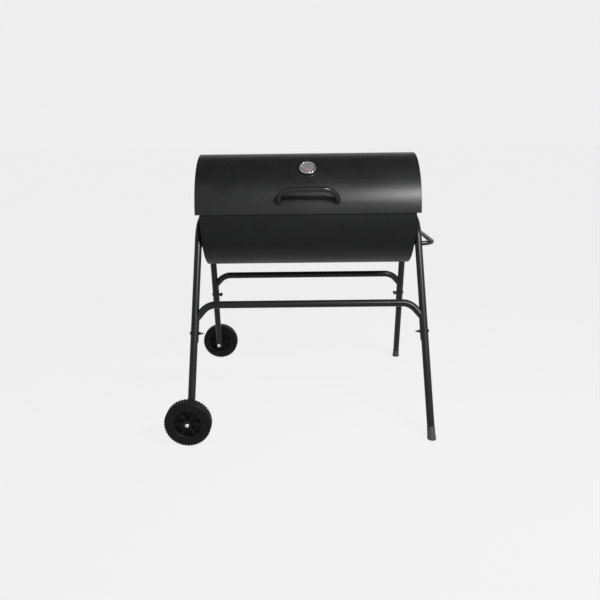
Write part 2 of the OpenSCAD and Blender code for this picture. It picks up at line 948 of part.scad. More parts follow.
module side_handle() {
    arm_y = foot_y - joint_bolt_h * tan(slant);
    bend_x = side_handle_reach - side_handle_bend;
    wall = 1.5;
    color("#17181a") difference() {
        side(1) translate([0, 0, joint_bolt_h]) {
            for (sy = [-1, 1]) mirror([0, sy < 0 ? 1 : 0, 0]) {
                translate([3, arm_y, 0]) rotate([0, 90, 0]) cylinder(h = bend_x - 3, d = side_handle_d);
                translate([bend_x, arm_y - side_handle_bend, 0])
                    bent_pipe(side_handle_bend, 90, side_handle_d, wall);
                translate([side_handle_reach, -0.01, 0]) rotate([-90, 0, 0])
                    pipe(arm_y - side_handle_bend + 0.01, side_handle_d, wall);
            }
        }
        for (sy = [-1, 1]) on_leg(1, sy) {
            cylinder(h = along(arch_h), r = tube_r + fit_gap);
            translate([0, 0, along(joint_bolt_h)]) hole_x(bolt_d + 0.1, 50);
        }
    }
}

module side_handle_bolts() {
    color("#2c2d30") inner_screw(1, 2 * tube_r + 10);
}

lid_shell();
lid_end_left();
lid_end_right();
lid_handle();
lid_handle_screws();
thermometer_case();
thermometer_dial();
thermometer_lens();
thermometer_needle();
thermometer_stem();
thermometer_nut();
hinge_lid_leaf_left();
hinge_lid_leaf_right();
hinge_lid_rivets();
hinge_box_leaf_left();
hinge_box_leaf_right();
hinge_box_rivets();
hinge_pins();
firebox_shell();
firebox_end_left();
firebox_end_right();
grate_rail_front();
grate_rail_rear();
cooking_grate_left();
cooking_grate_right();
charcoal_grate_left();
charcoal_grate_right();
air_damper_left();
air_damper_right();
damper_rivets();
side_arch_left();
side_arch_right();
arch_bolts();
arch_washers();
arch_nuts();
leg_front_left();
leg_rear_left();
leg_front_right();
leg_rear_right();
leg_joint_screws();
crossbar_front();
crossbar_rear();
crossbar_bolts();
crossbar_wing_nuts();
foot_cap_front();
foot_cap_rear();
wheel_front();
wheel_rear();
axle_bolts();
axle_spacers();
axle_saddles();
axle_nuts();
side_handle();
side_handle_bolts();
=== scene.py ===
import json
import math

import bmesh
import bpy
from mathutils import Euler, Matrix, Vector


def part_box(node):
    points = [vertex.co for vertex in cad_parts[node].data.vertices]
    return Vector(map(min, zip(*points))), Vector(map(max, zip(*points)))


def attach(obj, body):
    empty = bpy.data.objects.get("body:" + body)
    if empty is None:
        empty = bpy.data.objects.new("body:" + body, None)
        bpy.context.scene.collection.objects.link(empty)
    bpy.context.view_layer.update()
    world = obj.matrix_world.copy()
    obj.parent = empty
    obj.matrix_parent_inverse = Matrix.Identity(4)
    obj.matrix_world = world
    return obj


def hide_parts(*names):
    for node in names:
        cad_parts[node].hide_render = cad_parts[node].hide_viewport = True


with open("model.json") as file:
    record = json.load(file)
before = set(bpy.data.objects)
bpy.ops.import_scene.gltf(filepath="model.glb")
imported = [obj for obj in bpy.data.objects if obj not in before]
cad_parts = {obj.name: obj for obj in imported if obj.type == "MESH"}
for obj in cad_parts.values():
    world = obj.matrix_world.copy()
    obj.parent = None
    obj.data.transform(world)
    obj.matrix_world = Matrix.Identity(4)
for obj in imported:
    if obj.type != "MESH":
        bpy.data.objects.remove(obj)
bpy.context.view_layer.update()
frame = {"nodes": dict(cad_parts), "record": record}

bl_info = {
    "name": "Barrel charcoal grill",
    "version": (1, 0, 0),
    "blender": (4, 5, 0),
    "location": "View3D > Sidebar > Grill",
    "description": "Finishes a barrel charcoal grill around its packed frame",
    "category": "Object",
}

RECORD = frame["record"]
BODY_OF = {n: b for b, nodes in RECORD["behaviour"]["bodies"].items() for n in nodes}
SLOT_OF = {s["node"]: s["material_slot"] for s in RECORD["subparts"]}
JOINTS = {j["name"]: j for j in RECORD["behaviour"]["joints"]}
MM = 0.001
# Vertices nearer than this are one vertex
MERGE = 2e-6
# Faces that turn by less than this are one flat face
FLAT_ANGLE = math.radians(0.15)
# Edges that turn by more than this are rounded, and wear
SHARP_ANGLE = math.radians(28)
# Edges that turn by more than this are shaded as corners
CORNER_ANGLE = math.radians(50)


# ---------------------------------------------------------------- settings


class GrillSizes(bpy.types.PropertyGroup):
    """Sizes of the details that finish the grill"""

    sheet_edge: bpy.props.FloatProperty(
        name="Sheet edge", description="Rounding of the sheet metal's cut edges",
        default=0.35 * MM, min=0, max=0.001, unit="LENGTH")
    moulded_edge: bpy.props.FloatProperty(
        name="Moulded edge", description="Rounding of the wheels' and feet's edges",
        default=0.7 * MM, min=0, max=0.002, unit="LENGTH")
    small_edge: bpy.props.FloatProperty(
        name="Fastener edge", description="Rounding of the fasteners' edges",
        default=0.2 * MM, min=0, max=0.001, unit="LENGTH")
    weld_radius: bpy.props.FloatProperty(
        name="Weld radius", description="Radius of the weld at each crossing of the grate wires",
        default=2.3 * MM, min=0.001, max=0.004, unit="LENGTH")
    spot_radius: bpy.props.FloatProperty(
        name="Spot weld radius", description="Radius of the spot welds on the grate rails",
        default=2.8 * MM, min=0.001, max=0.005, unit="LENGTH")
    spot_count: bpy.props.IntProperty(
        name="Spot welds", description="Number of spot welds along each grate rail",
        default=9, min=3, max=20)


class GrillColours(bpy.types.PropertyGroup):
    """Colours of the grill's finishes"""

    barrel: bpy.props.FloatVectorProperty(
        name="Barrel coat", description="Heat-resistant coat on lid and firebox",
        subtype="COLOR", size=3, default=(0.0042, 0.0043, 0.0046), min=0, max=1)
    tube: bpy.props.FloatVectorProperty(
        name="Tube coat", description="Powder coat on the stand and handles",
        subtype="COLOR", size=3, default=(0.0045, 0.0046, 0.0049), min=0, max=1)
    plastic: bpy.props.FloatVectorProperty(
        name="Wheel plastic", description="Moulded plastic of the wheels",
        subtype="COLOR", size=3, default=(0.003, 0.003, 0.0032), min=0, max=1)
    dial: bpy.props.FloatVectorProperty(
        name="Dial", description="Printed face of the thermometer",
        subtype="COLOR", size=3, default=(0.055, 0.055, 0.054), min=0, max=1)


# ---------------------------------------------------------------- shader groups


def add(tree, kind, **values):
    """A new node with some of its settings"""
    node = tree.nodes.new(kind)
    for key, value in values.items():
        setattr(node, key, value)
    return node


def new_group(name, inputs, outputs):
    """A shader group with named sockets; returns it with its two end nodes"""
    tree = bpy.data.node_groups.new(name, "ShaderNodeTree")
    for label, kind, default in inputs:
        socket = tree.interface.new_socket(label, in_out="INPUT", socket_type=kind)
        if default is not None:
            socket.default_value = default
    for label, kind in outputs:
        tree.interface.new_socket(label, in_out="OUTPUT", socket_type=kind)
    return tree, tree.nodes.new("NodeGroupInput"), tree.nodes.new("NodeGroupOutput")


def remap(tree, value, low, high, to_low, to_high):
    """The value, moved from one range to another"""
    node = add(tree, "ShaderNodeMapRange")
    node.inputs["From Min"].default_value = low
    node.inputs["From Max"].default_value = high
    node.inputs["To Min"].default_value = to_low
    node.inputs["To Max"].default_value = to_high
    tree.links.new(value, node.inputs["Value"])
    return node.outputs["Result"]


def combine(tree, operation, first, second):
    """One math operation on two values, each a number or a socket"""
    node = add(tree, "ShaderNodeMath", operation=operation)
    for socket, value in zip(node.inputs, (first, second)):
        if isinstance(value, (int, float)):
            socket.default_value = value
        else:
            tree.links.new(value, socket)
    return node.outputs[0]


def noise(tree, vector, scale, detail=3.0, roughness=0.55):
    """Noise at a scale, which is a number or a socket"""
    node = add(tree, "ShaderNodeTexNoise")
    node.inputs["Detail"].default_value = detail
    node.inputs["Roughness"].default_value = roughness
    if isinstance(scale, (int, float)):
        node.inputs["Scale"].default_value = scale
    else:
        tree.links.new(scale, node.inputs["Scale"])
    tree.links.new(vector, node.inputs["Vector"])
    return node.outputs["Fac"]


def grain_group():
    """Orange-peel height, slow mottling and fine specks of a sprayed or moulded surface"""
    tree, gin, gout = new_group(
        "Surface grain",
        [("Vector", "NodeSocketVector", None), ("Grain Scale", "NodeSocketFloat", 900.0),
         ("Mottle Scale", "NodeSocketFloat", 9.0)],
        [("Mottle", "NodeSocketFloat"), ("Height", "NodeSocketFloat"), ("Specks", "NodeSocketFloat")])
    peel = noise(tree, gin.outputs["Vector"], gin.outputs["Grain Scale"], 2.0)
    slow = noise(tree, gin.outputs["Vector"], gin.outputs["Mottle Scale"], 5.0)
    fine = add(tree, "ShaderNodeTexVoronoi")
    tree.links.new(gin.outputs["Vector"], fine.inputs["Vector"])
    tree.links.new(gin.outputs["Grain Scale"], fine.inputs["Scale"])
    tree.links.new(remap(tree, slow, 0.3, 0.7, 0, 1), gout.inputs["Mottle"])
    tree.links.new(peel, gout.inputs["Height"])
    tree.links.new(remap(tree, fine.outputs["Distance"], 0.0, 0.16, 1, 0), gout.inputs["Specks"])
    return tree


def wear_group():
    """Worn edges, broken up by noise, from the piece's own edge attribute"""
    tree, gin, gout = new_group(
        "Edge wear",
        [("Vector", "NodeSocketVector", None), ("Amount", "NodeSocketFloat", 0.5)],
        [("Mask", "NodeSocketFloat")])
    edge = add(tree, "ShaderNodeAttribute", attribute_name="edge")
    patches = remap(tree, noise(tree, gin.outputs["Vector"], 160.0, 6.0, 0.7), 0.46, 0.62, 0, 1)
    worn = combine(tree, "MULTIPLY", edge.outputs["Fac"], patches)
    tree.links.new(combine(tree, "MULTIPLY", worn, gin.outputs["Amount"]), gout.inputs["Mask"])
    return tree


def brush_group():
    """Fine lines along one axis, as on rolled or drawn metal"""
    tree, gin, gout = new_group(
        "Drawn lines",
        [("Vector", "NodeSocketVector", None), ("Stretch", "NodeSocketVector", (20.0, 900.0, 900.0))],
        [("Lines", "NodeSocketFloat")])
    scaled = add(tree, "ShaderNodeVectorMath", operation="MULTIPLY")
    tree.links.new(gin.outputs["Vector"], scaled.inputs[0])
    tree.links.new(gin.outputs["Stretch"], scaled.inputs[1])
    tree.links.new(noise(tree, scaled.outputs[0], 1.0, 4.0, 0.6), gout.inputs["Lines"])
    return tree


def dust_group():
    """Thin dust that settles on what faces up"""
    tree, gin, gout = new_group(
        "Settled dust",
        [("Vector", "NodeSocketVector", None), ("Amount", "NodeSocketFloat", 0.05)],
        [("Mask", "NodeSocketFloat")])
    normal = add(tree, "ShaderNodeNewGeometry")
    parts = add(tree, "ShaderNodeSeparateXYZ")
    tree.links.new(normal.outputs["Normal"], parts.inputs[0])
    up = remap(tree, parts.outputs["Z"], 0.5, 1.0, 0, 1)
    patches = remap(tree, noise(tree, gin.outputs["Vector"], 45.0, 6.0, 0.65), 0.35, 0.75, 0.2, 1)
    settled = combine(tree, "MULTIPLY", up, patches)
    tree.links.new(combine(tree, "MULTIPLY", settled, gin.outputs["Amount"]), gout.inputs["Mask"])
    return tree


GROUPS = {}


def group(name):
    """A shared shader group, built the first time it is asked for"""
    makers = {"grain": grain_group, "wear": wear_group, "brush": brush_group, "dust": dust_group}
    if name not in GROUPS:
        GROUPS[name] = makers[name]()
    return GROUPS[name]


def place_group(tree, name, vector, **values):
    """A shared group in a material, with its own values; _ stands for a space in a name"""
    node = add(tree, "ShaderNodeGroup", node_tree=group(name))
    for key, value in values.items():
        node.inputs[key.replace("_", " ")].default_value = value
    tree.links.new(vector, node.inputs["Vector"])
    return node


def blend_colour(tree, mask, first, second):
    """The first colour where the mask is 0 and the second where it is 1"""
    node = add(tree, "ShaderNodeMix", data_type="RGBA")
    tree.links.new(mask, node.inputs["Factor"])
    for socket, value in ((node.inputs[6], first), (node.inputs[7], second)):
        if isinstance(value, tuple):
            socket.default_value = (*value, 1.0)
        else:
            tree.links.new(value, socket)
    return node.outputs[2]


# ---------------------------------------------------------------- finishes


# How much the specks show, and how much lighter than their finish they are
SPECK_SHARE, SPECK_LIGHTER = 0.12, 2.2
# Colour of settled dust, and how much rougher it makes a finish
DUST_COLOUR, DUST_ROUGHER = (0.33, 0.31, 0.29), 0.4
# How much drawn lines change a finish's roughness, up and down
LINE_ROUGHER = 0.07
# Depth of the grain
RELIEF_DEPTH = 0.3 * MM
COAT_ROUGHNESS = 0.22
# Noise levels between which the lens goes from clear to smeared
SMEAR_LOW, SMEAR_HIGH = 0.4, 0.75


def lightened(colour, factor):
    """The colour made lighter, up to white"""
    return tuple(min(1.0, part * factor) for part in colour)


def blank_material(name):
    """A new material, with its node tree and its shader"""
    material = bpy.data.materials.new(name)
    material.use_nodes = True
    return material, material.node_tree, material.node_tree.nodes["Principled BSDF"]


def finish_of(name, colour, rough, metallic=0.0, coat=0.0, grain=900.0, mottle=9.0, bump=0.08,
              wear=0.3, worn=(0.12, 0.12, 0.125), dust=0.012, lines=None, spread=0.09,
              lighter=1.35, gloss=0.5):
    """A finish of one colour with grain, mottling, worn edges and dust"""
    if name in bpy.data.materials:
        return bpy.data.materials[name]
    material, tree, shader = blank_material(name)
    place = add(tree, "ShaderNodeTexCoord").outputs["Object"]
    surface = place_group(tree, "grain", place, Grain_Scale=grain, Mottle_Scale=mottle)
    edges = place_group(tree, "wear", place, Amount=wear)
    settled = place_group(tree, "dust", place, Amount=dust)
    tint = blend_colour(tree, surface.outputs["Mottle"], colour, lightened(colour, lighter))
    specks = combine(tree, "MULTIPLY", surface.outputs["Specks"], SPECK_SHARE)
    tint = blend_colour(tree, specks, tint, lightened(colour, SPECK_LIGHTER))
    tint = blend_colour(tree, edges.outputs["Mask"], tint, worn)
    tint = blend_colour(tree, settled.outputs["Mask"], tint, DUST_COLOUR)
    tree.links.new(tint, shader.inputs["Base Color"])
    level = remap(tree, surface.outputs["Mottle"], 0, 1, rough - spread / 2, rough + spread / 2)
    height = surface.outputs["Height"]
    if lines:
        drawn = place_group(tree, "brush", place, Stretch=lines).outputs["Lines"]
        level = combine(tree, "ADD", level, remap(tree, drawn, 0.3, 0.7, -LINE_ROUGHER, LINE_ROUGHER))
        height = drawn
    dusty = combine(tree, "MULTIPLY", settled.outputs["Mask"], DUST_ROUGHER)
    level = combine(tree, "ADD", level, dusty)
    tree.links.new(level, shader.inputs["Roughness"])
    relief = add(tree, "ShaderNodeBump")
    relief.inputs["Strength"].default_value = bump
    relief.inputs["Distance"].default_value = RELIEF_DEPTH
    tree.links.new(height, relief.inputs["Height"])
    tree.links.new(relief.outputs["Normal"], shader.inputs["Normal"])
    shader.inputs["Metallic"].default_value = metallic
    shader.inputs["Specular IOR Level"].default_value = gloss
    shader.inputs["Coat Weight"].default_value = coat
    shader.inputs["Coat Roughness"].default_value = COAT_ROUGHNESS
    return material


def glass_finish():
    """The thermometer's lens: thin clear glass with faint smears"""
    name = "clear_lens"
    if name in bpy.data.materials:
        return bpy.data.materials[name]
    material, tree, shader = blank_material(name)
    place = add(tree, "ShaderNodeTexCoord").outputs["Object"]
    smears = noise(tree, place, 70.0, 5.0, 0.6)
    tree.links.new(remap(tree, smears, SMEAR_LOW, SMEAR_HIGH, 0.02, 0.12), shader.inputs["Roughness"])
    tree.links.new(remap(tree, smears, SMEAR_LOW, SMEAR_HIGH, 0.03, 0.08), shader.inputs["Alpha"])
    shader.inputs["Base Color"].default_value = (0.25, 0.26, 0.26, 1)
    shader.inputs["IOR"].default_value = 1.5
    return material


def slot_finish(slot):
    """The finish for one of the record's material slots"""
    colours = bpy.context.scene.grill_colours
    barrel, tube = tuple(colours.barrel), tuple(colours.tube)
    plastic, dial = tuple(colours.plastic), tuple(colours.dial)
    makers = {
        "lid_paint": lambda: finish_of("lid_coat", barrel, 0.38, bump=0.1, wear=0.35, gloss=0.26),
        "box_paint": lambda: finish_of("firebox_coat", barrel, 0.46, bump=0.12, wear=0.35,
                                       gloss=0.12),
        "tube_paint": lambda: finish_of("tube_coat", tube, 0.36, grain=700.0, bump=0.03, gloss=0.2),
        "handle_paint": lambda: finish_of("handle_coat", tube, 0.3, grain=700.0, bump=0.03, gloss=0.3),
        "hinge_paint": lambda: finish_of("hinge_coat", tube, 0.36, coat=0.1, wear=0.7),
        "damper_paint": lambda: finish_of("damper_coat", barrel, 0.42, wear=0.7),
        "black_fastener": lambda: finish_of("black_oxide", (0.02, 0.02, 0.022), 0.34, metallic=0.7,
                                            grain=1600.0, wear=0.8, worn=(0.3, 0.3, 0.31)),
        "zinc_fastener": lambda: finish_of("zinc_plate", (0.56, 0.57, 0.6), 0.3, metallic=1.0,
                                           grain=1500.0, mottle=260.0, wear=0.2, worn=(0.7, 0.7, 0.72)),
        "bezel_chrome": lambda: finish_of("polished_bezel", (0.72, 0.73, 0.74), 0.12, metallic=1.0,
                                          bump=0.02, wear=0.1, worn=(0.8, 0.8, 0.8), spread=0.05,
                                          lighter=1.08),
        "dial_face": lambda: finish_of("dial_print", dial, 0.5, grain=1400.0, mottle=140.0, wear=0.0,
                                       bump=0.03, lighter=2.4),
        "needle_paint": lambda: finish_of("needle_coat", (0.3, 0.012, 0.008), 0.45, wear=0.2, gloss=0.3),
        "gauge_glass": glass_finish,
        "probe_steel": lambda: finish_of("probe_steel", (0.5, 0.51, 0.52), 0.3, metallic=1.0,
                                         wear=0.1),
        "rail_steel": lambda: finish_of("galvanised_sheet", (0.4, 0.41, 0.42), 0.42, metallic=1.0,
                                        grain=500.0, mottle=75.0, spread=0.2, worn=(0.6, 0.6, 0.6),
                                        lines=(15.0, 700.0, 700.0)),
        "grate_chrome": lambda: finish_of("chromed_wire", (0.62, 0.63, 0.64), 0.2, metallic=1.0,
                                          mottle=40.0, wear=0.2, worn=(0.3, 0.26, 0.2), lighter=1.1),
        "coal_wire": lambda: finish_of("heated_wire", (0.2, 0.19, 0.18), 0.46, metallic=0.9,
                                       mottle=35.0, spread=0.2, bump=0.2, worn=(0.25, 0.15, 0.09)),
        "foot_rubber": lambda: finish_of("foot_cap", (0.014, 0.014, 0.015), 0.6, grain=1300.0,
                                         bump=0.2, wear=0.6, worn=(0.06, 0.058, 0.056), dust=0.04),
        "wheel_plastic": lambda: finish_of("moulded_plastic", plastic, 0.5, grain=1500.0, bump=0.22,
                                           gloss=0.1, wear=0.55, worn=(0.02, 0.02, 0.02)),
    }
    return makers[slot]()


# ---------------------------------------------------------------- making pieces


def new_piece(name, mesh, body, slot, material=None):
    """A finished object at the origin, riding on a body, with the slot's finish"""
    piece = bpy.data.objects.new(name, mesh)
    bpy.context.scene.collection.objects.link(piece)
    mesh.materials.clear()
    mesh.materials.append(material or slot_finish(slot))
    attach(piece, body)
    return piece


def settled_mesh(holder, name):
    """The holder's mesh with its modifiers worked in; the holder is removed"""
    graph = bpy.context.evaluated_depsgraph_get()
    mesh = bpy.data.meshes.new_from_object(holder.evaluated_get(graph))
    mesh.name = name
    holder.modifiers.clear()
    bpy.data.objects.remove(holder)
    return mesh


def finish_node(node, width):
    """Rounds a CAD node's hard edges on a merged copy, marks them for wear, and stands in for it"""
    form = bmesh.new()
    form.from_mesh(frame["nodes"][node].data)
    bmesh.ops.remove_doubles(form, verts=form.verts, dist=MERGE)
    bmesh.ops.dissolve_limit(
        form, angle_limit=FLAT_ANGLE, verts=form.verts, edges=form.edges)
    mark = form.faces.layers.float.new("edge")
    hard = [e for e in form.edges if e.is_manifold and e.calc_face_angle(0.0) > SHARP_ANGLE]
    if hard and width > 0:
        made = bmesh.ops.bevel(
            form, geom=hard, offset=width, offset_type="OFFSET", segments=2, profile=0.5,
            affect="EDGES", clamp_overlap=True)
        for face in made["faces"]:
            face[mark] = 1.0
    for face in form.faces:
        face.smooth = True
    mesh = bpy.data.meshes.new(node + "_mesh")
    form.to_mesh(mesh)
    form.free()
    mesh.set_sharp_from_angle(angle=CORNER_ANGLE)
    holder = bpy.data.objects.new("holder", mesh)
    bpy.context.scene.collection.objects.link(holder)
    weighted = holder.modifiers.new("Flat faces", "WEIGHTED_NORMAL")
    weighted.keep_sharp = True
    mesh = settled_mesh(holder, node + "_finished")
    piece = new_piece(node + "_finished", mesh, BODY_OF[node], SLOT_OF[node])
    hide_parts(node)
    return piece


def finish_nodes(names, width):
    """Finishes several nodes alike"""
    for name in names:
        finish_node(name, width)


# ---------------------------------------------------------------- geometry nodes


def shape_group(name, inputs):
    """A geometry tree with named inputs and a material; returns it with its two end nodes"""
    tree = bpy.data.node_groups.new(name, "GeometryNodeTree")
    for label, kind, default in inputs:
        socket = tree.interface.new_socket(label, in_out="INPUT", socket_type=kind)
        if default is not None:
            socket.default_value = default
    tree.interface.new_socket("Material", in_out="INPUT", socket_type="NodeSocketMaterial")
    tree.interface.new_socket("Geometry", in_out="OUTPUT", socket_type="NodeSocketGeometry")
    return tree, tree.nodes.new("NodeGroupInput"), tree.nodes.new("NodeGroupOutput")


def close_group(tree, gin, gout, instances):
    """Ends a geometry tree by making its instances real and giving them the material"""
    solid = add(tree, "GeometryNodeRealizeInstances")
    painted = add(tree, "GeometryNodeSetMaterial")
    tree.links.new(instances, solid.inputs["Geometry"])
    tree.links.new(solid.outputs["Geometry"], painted.inputs["Geometry"])
    tree.links.new(gin.outputs["Material"], painted.inputs["Material"])
    tree.links.new(painted.outputs["Geometry"], gout.inputs["Geometry"])


def bead_grid_tree():
    """Flattened beads on a grid: weld nuggets where wires cross, or spot welds in a row"""
    tree, gin, gout = shape_group("Bead grid", [
        ("Columns", "NodeSocketInt", 3), ("Rows", "NodeSocketInt", 1),
        ("Length", "NodeSocketFloat", 0.1), ("Width", "NodeSocketFloat", 0.0),
        ("Bead", "NodeSocketVector", (0.002, 0.002, 0.001))])
    grid = add(tree, "GeometryNodeMeshGrid")
    for label, socket in (("Columns", "Vertices X"), ("Rows", "Vertices Y"),
                          ("Length", "Size X"), ("Width", "Size Y")):
        tree.links.new(gin.outputs[label], grid.inputs[socket])
    bead = add(tree, "GeometryNodeMeshIcoSphere")
    bead.inputs["Radius"].default_value = 1.0
    bead.inputs["Subdivisions"].default_value = 2
    spread = add(tree, "GeometryNodeInstanceOnPoints")
    tree.links.new(grid.outputs["Mesh"], spread.inputs["Points"])
    tree.links.new(bead.outputs["Mesh"], spread.inputs["Instance"])
    tree.links.new(gin.outputs["Bead"], spread.inputs["Scale"])
    close_group(tree, gin, gout, spread.outputs["Instances"])
    return tree


def tick_ring_tree():
    """Flat strokes on an arc, as on a dial"""
    tree, gin, gout = shape_group("Tick ring", [
        ("Count", "NodeSocketInt", 25), ("Radius", "NodeSocketFloat", 0.02),
        ("Start", "NodeSocketFloat", 0.0), ("Step", "NodeSocketFloat", 0.1),
        ("Stroke", "NodeSocketVector", (0.0004, 0.002, 0.0001))])
    points = add(tree, "GeometryNodeMeshLine")
    tree.links.new(gin.outputs["Count"], points.inputs["Count"])
    turn = add(tree, "ShaderNodeMath", operation="MULTIPLY_ADD")
    tree.links.new(add(tree, "GeometryNodeInputIndex").outputs[0], turn.inputs[0])
    tree.links.new(gin.outputs["Step"], turn.inputs[1])
    tree.links.new(gin.outputs["Start"], turn.inputs[2])
    place = add(tree, "ShaderNodeCombineXYZ")
    for operation, axis in (("SINE", "X"), ("COSINE", "Y")):
        wave = add(tree, "ShaderNodeMath", operation=operation)
        tree.links.new(turn.outputs[0], wave.inputs[0])
        far = add(tree, "ShaderNodeMath", operation="MULTIPLY")
        tree.links.new(wave.outputs[0], far.inputs[0])
        tree.links.new(gin.outputs["Radius"], far.inputs[1])
        tree.links.new(far.outputs[0], place.inputs[axis])
    put = add(tree, "GeometryNodeSetPosition")
    tree.links.new(points.outputs["Mesh"], put.inputs["Geometry"])
    tree.links.new(place.outputs[0], put.inputs["Position"])
    back = add(tree, "ShaderNodeMath", operation="MULTIPLY")
    tree.links.new(turn.outputs[0], back.inputs[0])
    back.inputs[1].default_value = -1.0
    angles = add(tree, "ShaderNodeCombineXYZ")
    tree.links.new(back.outputs[0], angles.inputs["Z"])
    turned = add(tree, "FunctionNodeEulerToRotation")
    tree.links.new(angles.outputs[0], turned.inputs[0])
    stroke = add(tree, "GeometryNodeMeshCube")
    tree.links.new(gin.outputs["Stroke"], stroke.inputs["Size"])
    spread = add(tree, "GeometryNodeInstanceOnPoints")
    tree.links.new(put.outputs["Geometry"], spread.inputs["Points"])
    tree.links.new(stroke.outputs["Mesh"], spread.inputs["Instance"])
    tree.links.new(turned.outputs[0], spread.inputs["Rotation"])
    close_group(tree, gin, gout, spread.outputs["Instances"])
    return tree


TREES = {}


def grown(kind, name, material, matrix, **values):
    """Runs a geometry tree with its inputs and returns a plain mesh, placed by matrix"""
    makers = {"beads": bead_grid_tree, "ticks": tick_ring_tree}
    if kind not in TREES:
        TREES[kind] = makers[kind]()
    tree = TREES[kind]
    holder = bpy.data.objects.new("holder", bpy.data.meshes.new("holder"))
    bpy.context.scene.collection.objects.link(holder)
    modifier = holder.modifiers.new(name, "NODES")
    modifier.node_group = tree
    sockets = {s.name: s.identifier for s in tree.interface.items_tree if s.in_out == "INPUT"}
    for label, value in values.items():
        modifier[sockets[label]] = value
    modifier[sockets["Material"]] = material
    mesh = settled_mesh(holder, name)
    mesh.transform(matrix)
    if kind == "beads":
        mesh.shade_smooth()
    return mesh


def merged_mesh(name, meshes):
    """One mesh that holds all the given ones"""
    form = bmesh.new()
    for mesh in meshes:
        form.from_mesh(mesh)
    result = bpy.data.meshes.new(name)
    form.to_mesh(result)
    form.free()
    return result


# ---------------------------------------------------------------- operators


def sizes():
    return bpy.context.scene.grill_sizes


class GRILL_OT_barrel(bpy.types.Operator):
    """Finish the lid and the firebox with rounded sheet edges"""

    bl_idname = "grill.barrel"
    bl_label = "Lid and firebox"

    def execute(self, context):
        finish_nodes(["lid_shell", "lid_end_left", "lid_end_right", "firebox_shell",
                      "firebox_end_left", "firebox_end_right"], sizes().sheet_edge)
        return {"FINISHED"}


class GRILL_OT_handles(bpy.types.Operator):
    """Finish the lid handle and the side handle"""

    bl_idname = "grill.handles"
    bl_label = "Handles"

    def execute(self, context):
        finish_nodes(["lid_handle", "side_handle"], sizes().sheet_edge)
        return {"FINISHED"}


# Rounding of the thermometer's edges
GAUGE_EDGE = 0.12 * MM
# The dial: height of its print above the needle's pivot, and its marks and numerals
PRINT_HEIGHT = 4.75 * MM
DIAL_SWEEP = math.radians(270)
FINE_STEPS = 28
FINE_PER_BOLD = 4
FINE_RADIUS, FINE_STROKE = 22.6 * MM, (0.35 * MM, 1.8 * MM, 0.1 * MM)
BOLD_RADIUS, BOLD_STROKE = 21.9 * MM, (0.8 * MM, 3.2 * MM, 0.12 * MM)
NUMERAL_RADIUS, NUMERAL_SIZE, NUMERAL_DEPTH = 17 * MM, 4.4 * MM, 0.05 * MM
DEGREES_PER_BOLD = 50


def numeral_mesh(number, angle, place):
    """A numeral standing upright on the dial, at an angle clockwise from its top"""
    curve = bpy.data.curves.new("numeral", "FONT")
    curve.body = str(number)
    curve.size = NUMERAL_SIZE
    curve.align_x, curve.align_y = "CENTER", "CENTER"
    curve.extrude = NUMERAL_DEPTH
    holder = bpy.data.objects.new("numeral", curve)
    bpy.context.scene.collection.objects.link(holder)
    mesh = settled_mesh(holder, "numeral")
    spot = Vector((math.sin(angle), math.cos(angle), 0)) * NUMERAL_RADIUS
    mesh.transform(place @ Matrix.Translation(spot))
    return mesh


class GRILL_OT_thermometer(bpy.types.Operator):
    """Finish the thermometer and print its dial"""

    bl_idname = "grill.thermometer"
    bl_label = "Thermometer"

    def execute(self, context):
        finish_nodes(["thermometer_case", "thermometer_dial", "thermometer_lens",
                      "thermometer_needle", "thermometer_stem", "thermometer_nut"], GAUGE_EDGE)
        joint = JOINTS["needle_turn"]
        out = -Vector(joint["axis"])
        tilt = Euler((math.atan2(-out.y, out.z), 0, 0)).to_matrix().to_4x4()
        lift = Matrix.Translation((0, 0, PRINT_HEIGHT))
        place = Matrix.Translation(joint["pos_m"]) @ tilt @ lift
        ink = finish_of("dial_ink", (0.03, 0.03, 0.032), 0.55, wear=0.0, bump=0.03)
        start = -DIAL_SWEEP / 2
        step = DIAL_SWEEP / FINE_STEPS
        bolds = FINE_STEPS // FINE_PER_BOLD + 1
        fine = grown("ticks", "dial_fine_marks", ink, place, Count=FINE_STEPS + 1,
                     Radius=FINE_RADIUS, Start=start, Step=step, Stroke=FINE_STROKE)
        bold = grown("ticks", "dial_bold_marks", ink, place, Count=bolds, Radius=BOLD_RADIUS,
                     Start=start, Step=step * FINE_PER_BOLD, Stroke=BOLD_STROKE)
        parts = [fine, bold]
        for index in range(bolds):
            angle = start + index * FINE_PER_BOLD * step
            parts.append(numeral_mesh(DEGREES_PER_BOLD * index, angle, place))
        printed = merged_mesh("dial_marks", parts)
        new_piece("thermometer_dial_marks", printed, "lid", "dial_face", ink)
        return {"FINISHED"}


class GRILL_OT_hinges(bpy.types.Operator):
    """Finish the hinge leaves and pins"""

    bl_idname = "grill.hinges"
    bl_label = "Hinges"

    def execute(self, context):
        finish_nodes(["hinge_lid_leaf_left", "hinge_lid_leaf_right", "hinge_box_leaf_left",
                      "hinge_box_leaf_right", "hinge_pins"], sizes().small_edge)
        return {"FINISHED"}


# Each kind of grate: the thickness and number of its thin wires and of the rods under them
GRATES = {
    "cooking": {"wire": 4 * MM, "wires": 21, "rod": 6 * MM, "rods": 4},
    "charcoal": {"wire": 6 * MM, "wires": 13, "rod": 7 * MM, "rods": 3},
}
# A weld's length and height as multiples of its radius, and how far it stands above the rods
WELD_LENGTHEN, WELD_FLATTEN, WELD_LIFT = 1.1, 0.5, 0.1 * MM
# The rails: their sheet, and the height, end distance and depth of their spot welds
RAIL_SHEET = 1.5 * MM
SPOT_HEIGHT = 6 * MM
SPOT_MARGIN = 20 * MM
SPOT_PROUD = 0.35 * MM


